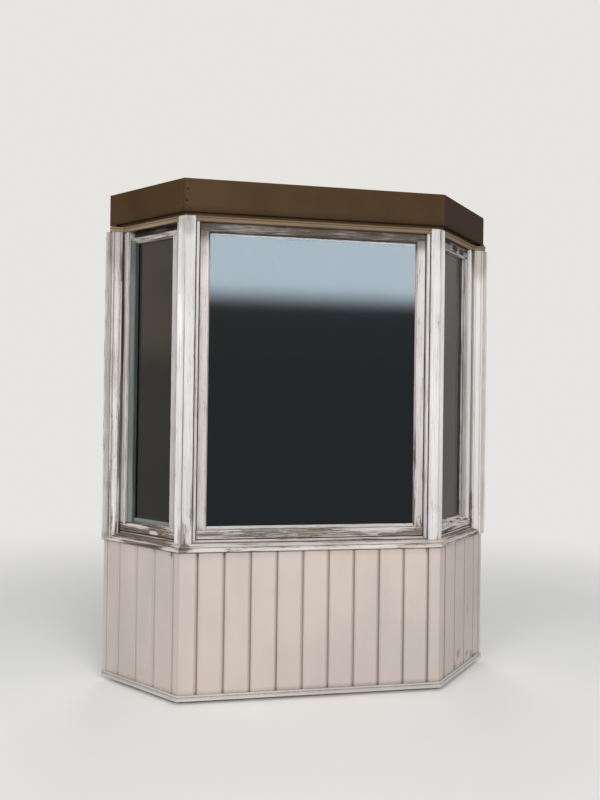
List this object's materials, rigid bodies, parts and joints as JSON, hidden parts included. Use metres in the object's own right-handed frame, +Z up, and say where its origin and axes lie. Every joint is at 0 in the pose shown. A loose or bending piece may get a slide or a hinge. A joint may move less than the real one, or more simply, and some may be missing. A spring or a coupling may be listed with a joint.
{
  "type": "bay window",
  "caption": "Walk-in bay window with angled side lights, weathered wood frames, a grooved siding apron and a metal frieze, open at the back.",
  "frame": {"origin": "on the ground, below the centre of the bay's width and depth", "axes": "+X to the right along the house wall, +Y into the house, +Z up"},
  "size_m": [2.08, 0.385, 2.488],
  "materials": {
    "siding_metal": "semi-matt baked enamel",
    "trim_metal": "semi-matt baked enamel",
    "frieze_metal": "satin baked enamel",
    "post_paint": "weathered white paint",
    "left_casing_paint": "peeling white paint on grey wood",
    "right_casing_paint": "matt white paint",
    "window_paint": "weathered white paint",
    "sash_paint": "weathered paint on grey wood",
    "sill_paint": "peeling white paint on grey wood",
    "moulding_paint": "stained brown paint",
    "framing_timber": "sawn softwood",
    "sheathing_board": "plywood",
    "inner_wall_paint": "matt painted wall lining",
    "ceiling_paint": "matt painted ceiling lining",
    "window_glass": "clear sealed glass unit"
  },
  "bodies": {
    "root": {"ceiling_platform": "ceiling_paint", "centre_glass": "window_glass", "centre_rails": "window_paint", "centre_stiles": "window_paint", "centre_stops": "window_paint", "floor_deck": "sheathing_board", "floor_platform": "framing_timber", "front_base_trim": "trim_metal", "front_frieze": "frieze_metal", "front_head_moulding": "moulding_paint", "front_header": "framing_timber", "front_sheathing": "sheathing_board", "front_siding": "siding_metal", "front_sill": "sill_paint", "front_wall_core": "inner_wall_paint", "left_base_trim": "trim_metal", "left_corner_post": "post_paint", "left_frieze": "frieze_metal", "left_glass": "window_glass", "left_head_moulding": "moulding_paint", "left_sash_rails": "sash_paint", "left_sash_stiles": "sash_paint", "left_sheathing": "sheathing_board", "left_siding": "siding_metal", "left_sill": "sill_paint", "left_stops": "window_paint", "left_wall_core": "inner_wall_paint", "left_wall_jamb": "left_casing_paint", "right_base_trim": "trim_metal", "right_corner_post": "post_paint", "right_frieze": "frieze_metal", "right_glass": "window_glass", "right_head_moulding": "moulding_paint", "right_sash_rails": "sash_paint", "right_sash_stiles": "sash_paint", "right_sheathing": "sheathing_board", "right_siding": "siding_metal", "right_sill": "sill_paint", "right_stops": "window_paint", "right_wall_core": "inner_wall_paint", "right_wall_jamb": "right_casing_paint", "side_headers": "framing_timber", "top_board": "sheathing_board", "underside_board": "sheathing_board", "wall_channels": "siding_metal"}
  },
  "joints": []
}
